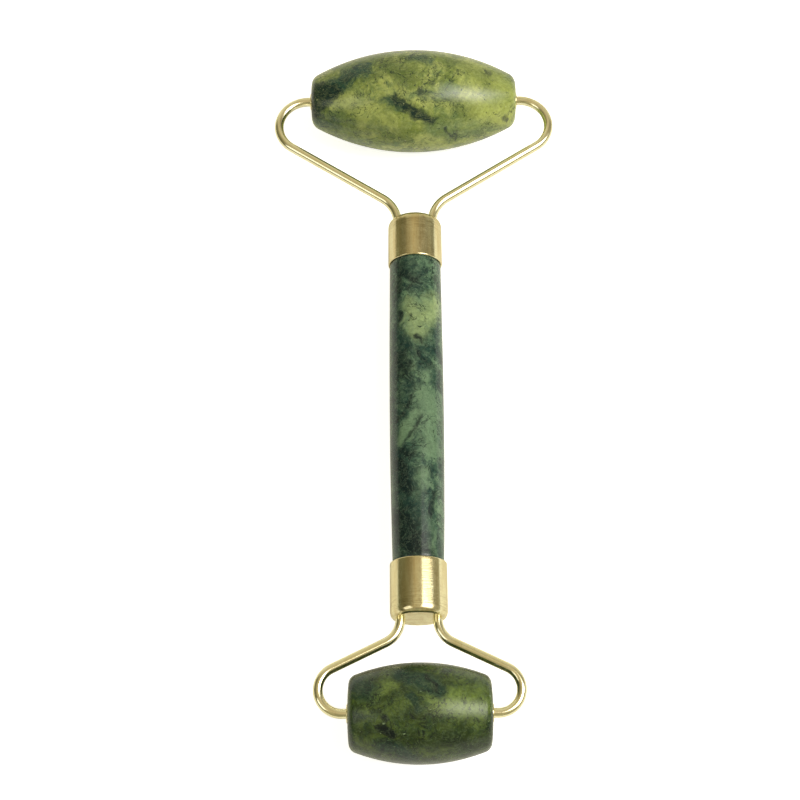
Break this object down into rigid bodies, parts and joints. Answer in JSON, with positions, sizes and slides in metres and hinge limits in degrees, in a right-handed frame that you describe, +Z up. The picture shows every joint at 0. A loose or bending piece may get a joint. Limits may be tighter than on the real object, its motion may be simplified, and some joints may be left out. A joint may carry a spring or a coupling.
{
  "type": "face roller",
  "caption": "Double-ended face massage roller: a stone handle between two brass cups, with a long and a short stone roller turning on bent wire yokes.",
  "frame": {"origin": "under the middle of the bounding box, at the height of the large roller's lowest point when the part lies flat", "axes": "X along both roller axles; +Y along the handle towards the large roller; +Z up when the part lies flat, with the handle axis parallel to Y"},
  "size_m": [0.0552, 0.1422, 0.0202],
  "materials": {
    "jade_handle": "polished, dark bluish green with darker veins",
    "jade_large": "polished, olive green mottled with darker green",
    "jade_small": "polished, dark olive green mottled with blackish green",
    "polished_brass": "pale gold, mirror polished",
    "cured_epoxy": "cured adhesive, hidden in the cups"
  },
  "bodies": {
    "handle": {"handle_stone": "jade_handle", "large_ferrule": "polished_brass", "small_ferrule": "polished_brass", "large_yoke": "polished_brass", "small_yoke": "polished_brass", "large_adhesive": "cured_epoxy", "small_adhesive": "cured_epoxy"},
    "large_roller": {"large_roller_stone": "jade_large", "large_bush_left": "polished_brass", "large_bush_right": "polished_brass"},
    "small_roller": {"small_roller_stone": "jade_small", "small_bush_left": "polished_brass", "small_bush_right": "polished_brass"}
  },
  "joints": [
    {"name": "large_roller_spin", "type": "hinge", "parent": "handle", "child": "large_roller", "pos_m": [0, 0.0609, 0.01013], "axis": [1, 0, 0], "continuous": true},
    {"name": "small_roller_spin", "type": "hinge", "parent": "handle", "child": "small_roller", "pos_m": [0, -0.06245, 0.01013], "axis": [1, 0, 0], "continuous": true}
  ]
}
